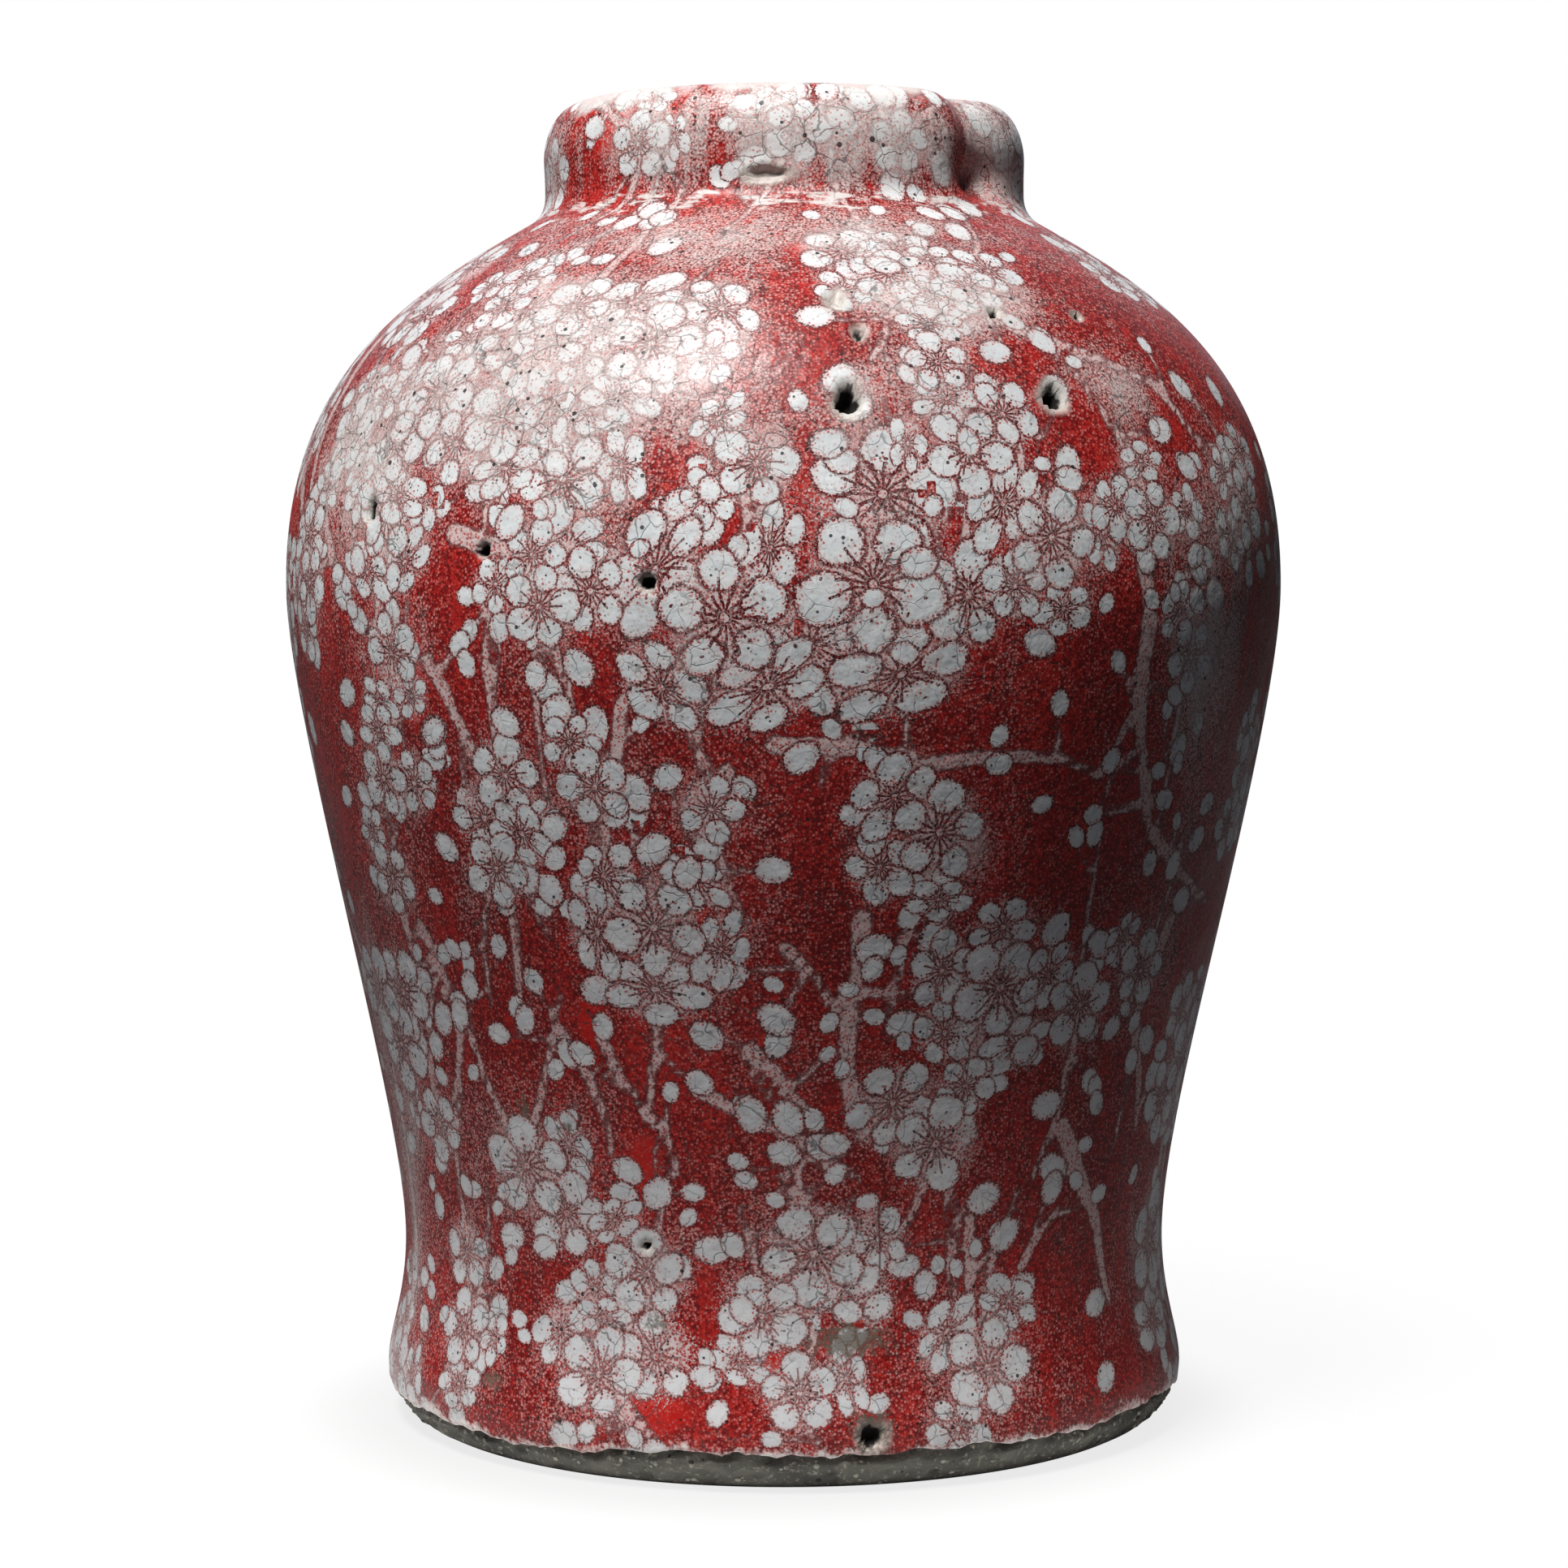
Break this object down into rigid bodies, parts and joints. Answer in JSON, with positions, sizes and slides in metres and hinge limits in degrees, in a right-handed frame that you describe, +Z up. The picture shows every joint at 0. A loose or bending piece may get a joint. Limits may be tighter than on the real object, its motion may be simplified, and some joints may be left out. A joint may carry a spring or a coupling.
{
  "type": "raku vase",
  "caption": "Baluster-shaped raku vase with a short collar and a flared bare foot, luted clay sections under white slip and a crackle glaze, for holding cut stems or as an ornament.",
  "frame": {"origin": "centre of the foot's resting plane, on the vase's axis", "axes": "+Z up the axis to the lip, -Y the pictured front, +X the picture's right"},
  "size_m": [0.228, 0.228, 0.3],
  "materials": {
    "clay": "smoke-blackened grogged stoneware, bare and matt",
    "luting": "fired joining slip, matt",
    "slip": "white engobe, matt, worn through in craters",
    "glaze": "glossy crackle glaze over a stippled red ground with white blossom"
  },
  "bodies": {
    "root": {"floor_disc": "clay", "floor_luting": "luting", "lower_wall": "clay", "belly_luting": "luting", "shoulder_wall": "clay", "collar_luting": "luting", "neck_collar": "clay", "slip_coat": "slip", "glaze_coat": "glaze"}
  },
  "joints": []
}
